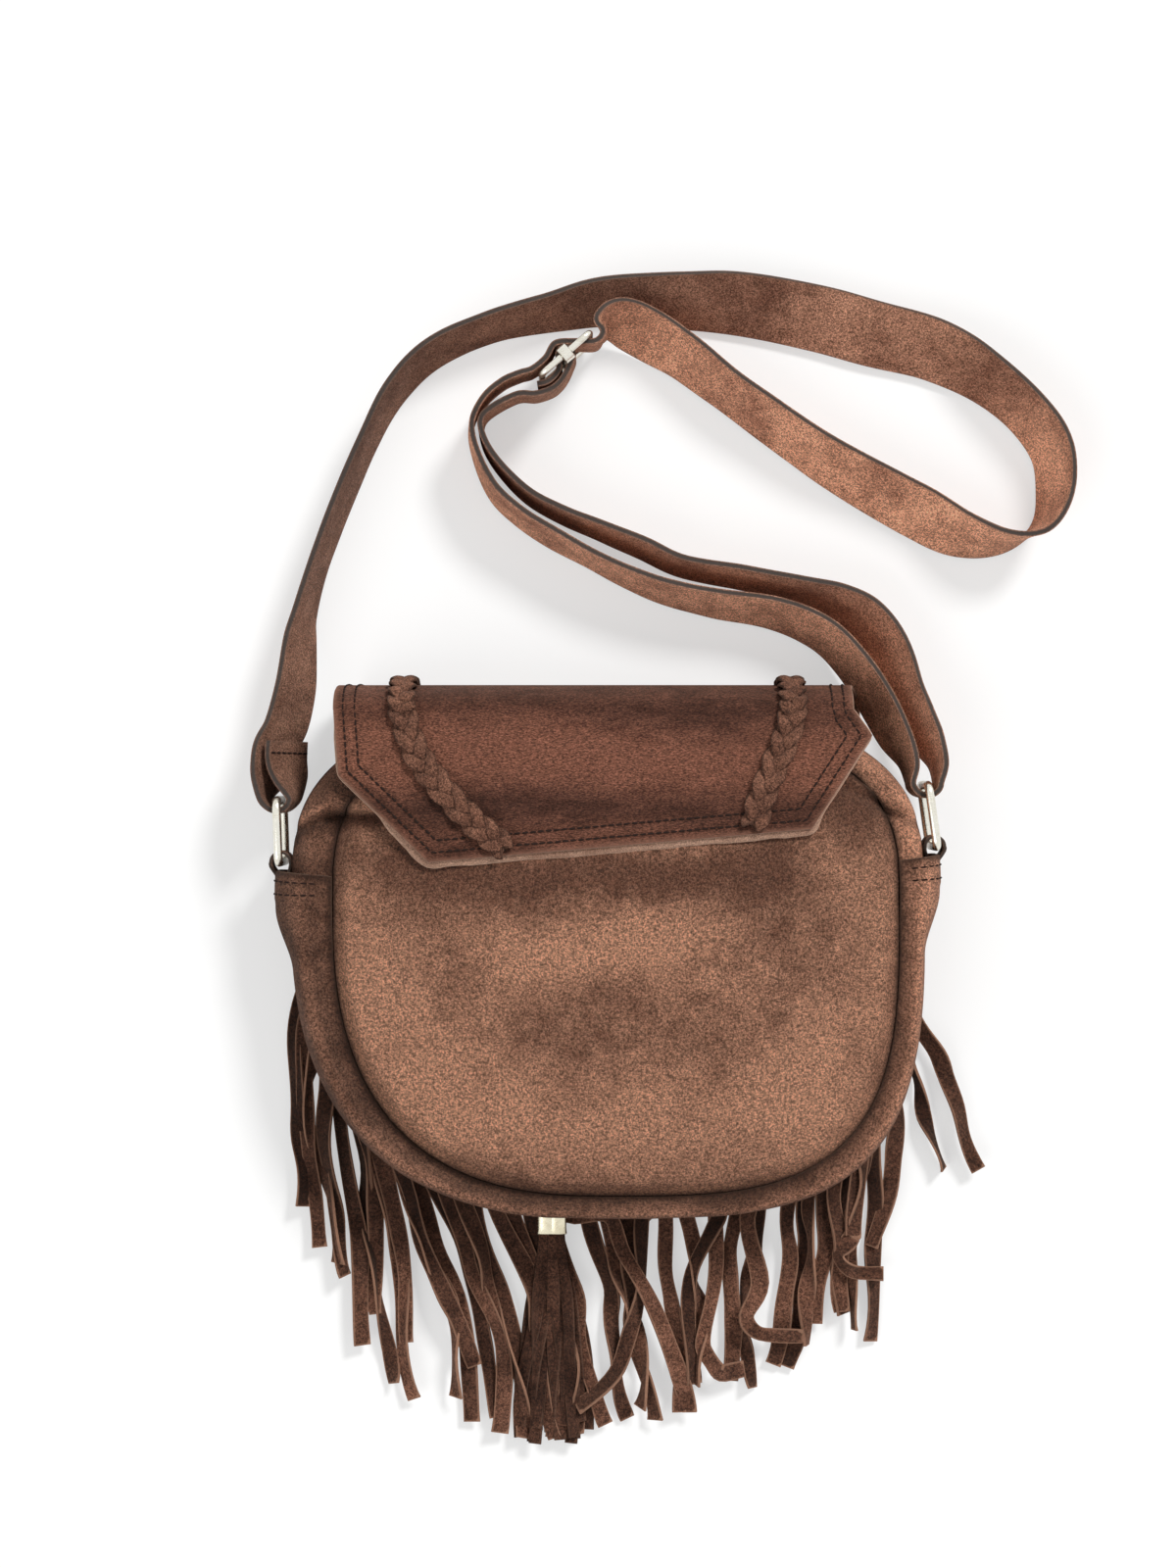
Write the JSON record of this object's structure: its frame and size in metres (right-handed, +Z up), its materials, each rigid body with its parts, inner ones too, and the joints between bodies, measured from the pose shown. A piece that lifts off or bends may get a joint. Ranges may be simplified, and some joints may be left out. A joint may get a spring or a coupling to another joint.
{
  "type": "fringed suede shoulder bag",
  "caption": "Small brown suede shoulder bag lying face down, with a folded flap, braids, long fringe, a tassel, a zip and a long buckled strap.",
  "frame": {"origin": "on the flap's flat front face, under the bag's middle, where the bag lies on a table", "axes": "+X to the right and +Y towards the strap as seen from above with the bag face down, +Z up from the table through the bag's back"},
  "size_m": [0.3121, 0.4533, 0.0609],
  "materials": {
    "body_suede": "napped suede, mottled warm brown",
    "zip_suede": "napped suede, turned fold at the zip",
    "flap_suede": "brushed nubuck, dark brown",
    "braid_suede": "narrow suede laces with raw pale edges",
    "fringe_suede": "cut suede strips, dark brown",
    "strap_suede": "two layers of suede with a grey core at the cut edges",
    "zip_tape": "woven tape, dark brown",
    "pale_nickel": "pale nickel plate, softly worn"
  },
  "bodies": {
    "bag": {"back_panel": "body_suede", "front_panel": "body_suede", "bottom_gusset": "body_suede", "zip_strip_back": "zip_suede", "zip_strip_front": "zip_suede", "flap": "flap_suede", "braid_left_strand_1": "braid_suede", "braid_left_strand_2": "braid_suede", "braid_left_strand_3": "braid_suede", "braid_right_strand_1": "braid_suede", "braid_right_strand_2": "braid_suede", "braid_right_strand_3": "braid_suede", "fringe": "fringe_suede", "tassel_strips": "fringe_suede", "tassel_thong": "fringe_suede", "strap": "strap_suede", "ring_tab_left": "strap_suede", "ring_tab_right": "strap_suede", "zip_tape_back": "zip_tape", "zip_tape_front": "zip_tape", "strap_slider_frame": "pale_nickel", "strap_slider_bar": "pale_nickel", "tassel_cap": "pale_nickel", "zip_coil_back": "pale_nickel", "zip_coil_front": "pale_nickel"},
    "left_ring": {"ring_left": "pale_nickel"},
    "right_ring": {"ring_right": "pale_nickel"},
    "slider": {"zip_slider": "pale_nickel"},
    "pull": {"zip_pull": "pale_nickel"}
  },
  "joints": [
    {"name": "left_ring_hinge", "type": "hinge", "parent": "bag", "child": "left_ring", "pos_m": [-0.1245, 0.03, 0.0245], "axis": [0, 0, 1], "range_deg": [-3, 3]},
    {"name": "right_ring_hinge", "type": "hinge", "parent": "bag", "child": "right_ring", "pos_m": [0.1245, 0.036, 0.0245], "axis": [0, 0, 1], "range_deg": [-3, 3]},
    {"name": "zip_slide", "type": "slide", "parent": "bag", "child": "slider", "axis": [1, 0, 0], "range_m": [0, 0.076]},
    {"name": "zip_pull_hinge", "type": "hinge", "parent": "slider", "child": "pull", "pos_m": [-0.034, 0.09265, 0.0245], "axis": [0, 0, 1], "range_deg": [0, 4]}
  ]
}
